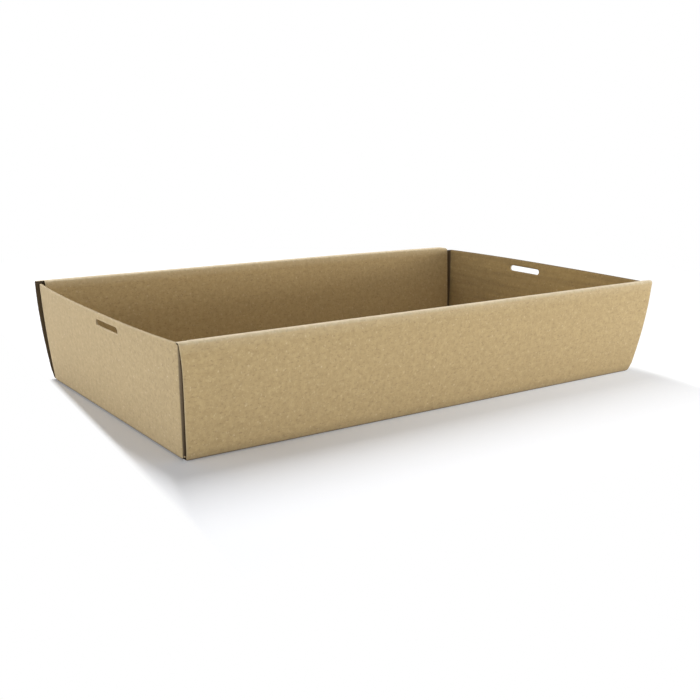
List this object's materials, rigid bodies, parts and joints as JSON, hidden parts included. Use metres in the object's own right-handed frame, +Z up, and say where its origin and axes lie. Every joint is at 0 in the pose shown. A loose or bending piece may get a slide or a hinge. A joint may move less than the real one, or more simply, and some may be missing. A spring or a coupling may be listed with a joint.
{
  "type": "cardboard tray box",
  "caption": "Open rectangular tray folded from one sheet of corrugated board, with flared walls, rolled-over long sides and a tab slot near the top of each end.",
  "frame": {"origin": "middle of the underside of the base", "axes": "+X along the tray, +Y across it, +Z up; the tray is the same when turned half round about Z"},
  "size_m": [0.4486, 0.268, 0.0821],
  "materials": {
    "kraft_board": "uncoated brown kraft paper over fine flutes"
  },
  "bodies": {
    "root": {"tray": "kraft_board"}
  },
  "joints": []
}
